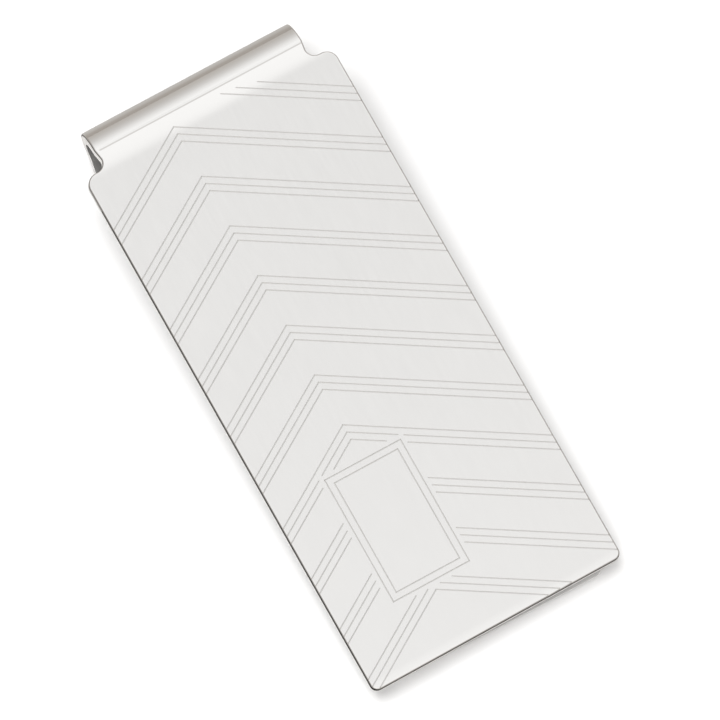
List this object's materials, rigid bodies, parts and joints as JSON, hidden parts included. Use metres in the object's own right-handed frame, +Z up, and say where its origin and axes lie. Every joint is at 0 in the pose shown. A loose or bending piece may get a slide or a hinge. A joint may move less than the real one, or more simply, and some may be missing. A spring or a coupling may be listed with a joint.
{
  "type": "money clip",
  "caption": "Folded spring money clip: engraved rectangular plate with a shouldered neck, a round spring fold and a narrower back arm that presses notes against the plate.",
  "frame": {"origin": "centre of the bottom of the bounding box, on the surface that the clip lies on", "axes": "+X runs along the clip from the fold to the free end, +Y across its width, +Z up from the surface, with the engraved plate on top"},
  "size_m": [0.054, 0.024, 0.0072],
  "materials": {
    "front_plate": "satin-bright plated brass with fine engraved lines",
    "spring_bow": "mirror-bright plated brass",
    "back_arm": "bright plated brass, finely brushed"
  },
  "bodies": {
    "front": {"front_plate": "front_plate", "spring_bow": "spring_bow"},
    "arm": {"back_arm": "back_arm"}
  },
  "joints": [
    {"name": "arm_opening", "type": "hinge", "parent": "front", "child": "arm", "pos_m": [-0.02434, 0, 0.00453], "axis": [0, 1, 0], "range_deg": [0, 6], "stiffness_Nm_per_rad": 1.5, "springref_deg": -2.86, "deforming": ["spring_bow"]}
  ]
}
